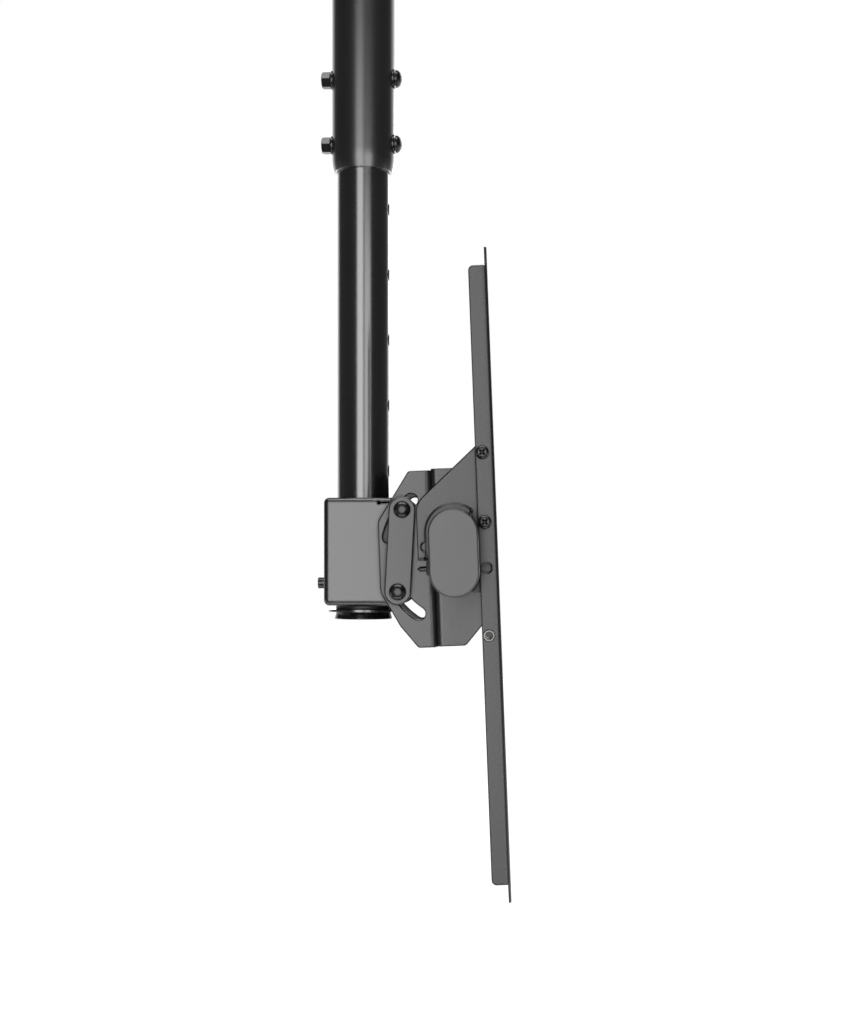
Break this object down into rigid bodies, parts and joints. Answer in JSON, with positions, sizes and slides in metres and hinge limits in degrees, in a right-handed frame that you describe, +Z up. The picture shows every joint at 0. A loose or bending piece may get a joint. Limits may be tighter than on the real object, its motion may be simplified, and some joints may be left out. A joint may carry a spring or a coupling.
{
  "type": "television ceiling mount",
  "caption": "Telescopic ceiling pole with a folded swivel head, tilting channels, a flat-oval crossbar and hook-on arms for a flat screen.",
  "frame": {"origin": "centre of the ceiling plate's upper face, on the pole's axis", "axes": "+Z up into the ceiling, +X from the pole towards the screen, Y along the crossbar"},
  "size_m": [0.1857, 0.44, 0.982],
  "materials": {
    "sheet_coat": "fine matt black powder coat",
    "pole_coat": "satin black powder coat",
    "bolt_black": "black zinc plate, satin",
    "cap_plastic": "moulded, fine matt black",
    "guide_nylon": "moulded, plain",
    "insert_zinc": "bright zinc plate"
  },
  "bodies": {
    "ceiling_pole": {"ceiling_plate": "sheet_coat", "ceiling_collar": "pole_coat", "collar_bolt": "bolt_black", "collar_nut": "bolt_black", "outer_pole": "pole_coat", "height_bolts": "bolt_black", "height_nuts": "bolt_black", "saddle_washers": "bolt_black"},
    "lower_pole": {"inner_pole": "pole_coat", "pole_guide_ring": "guide_nylon", "retaining_disc": "pole_coat", "pole_end_cap": "cap_plastic"},
    "swivel_head": {"head_box": "sheet_coat", "swivel_lock_screw": "bolt_black", "swivel_lock_nut": "bolt_black", "tilt_bolts": "bolt_black", "tilt_weld_nuts": "bolt_black", "left_link_plate": "sheet_coat", "right_link_plate": "sheet_coat"},
    "tilt_frame": {"tilt_channel": "sheet_coat"},
    "level_frame": {"crossbar_channel": "sheet_coat", "level_pivot_bolt": "bolt_black", "level_lock_bolt": "bolt_black", "level_nuts": "bolt_black", "crossbar": "sheet_coat", "left_end_cap": "cap_plastic", "right_end_cap": "cap_plastic"},
    "left_arm": {"left_arm_rail": "sheet_coat", "left_hook_bracket": "sheet_coat", "left_bracket_screws": "bolt_black", "left_rail_inserts": "insert_zinc", "left_arm_lock_screw": "bolt_black"},
    "right_arm": {"right_arm_rail": "sheet_coat", "right_hook_bracket": "sheet_coat", "right_bracket_screws": "bolt_black", "right_rail_inserts": "insert_zinc", "right_arm_lock_screw": "bolt_black"}
  },
  "joints": [
    {"name": "pole_height", "type": "slide", "parent": "ceiling_pole", "child": "lower_pole", "axis": [0, 0, 1], "range_m": [-0.05, 0.25]},
    {"name": "head_swivel", "type": "hinge", "parent": "lower_pole", "child": "swivel_head", "pos_m": [0, 0, -0.7525], "axis": [0, 0, 1], "continuous": true},
    {"name": "channel_tilt", "type": "hinge", "parent": "swivel_head", "child": "tilt_frame", "pos_m": [0.0735, 0, -0.7543], "axis": [0, 1, 0], "range_deg": [-11, 25]},
    {"name": "bar_level", "type": "hinge", "parent": "tilt_frame", "child": "level_frame", "pos_m": [0.05329, 0, -0.71004], "axis": [0.9993, 0, 0.0384], "range_deg": [-3, 3]},
    {"name": "left_arm_slide", "type": "slide", "parent": "level_frame", "child": "left_arm", "axis": [0, -1, 0], "range_m": [-0.118, 0.026]},
    {"name": "right_arm_slide", "type": "slide", "parent": "level_frame", "child": "right_arm", "axis": [0, 1, 0], "range_m": [-0.118, 0.026]}
  ]
}
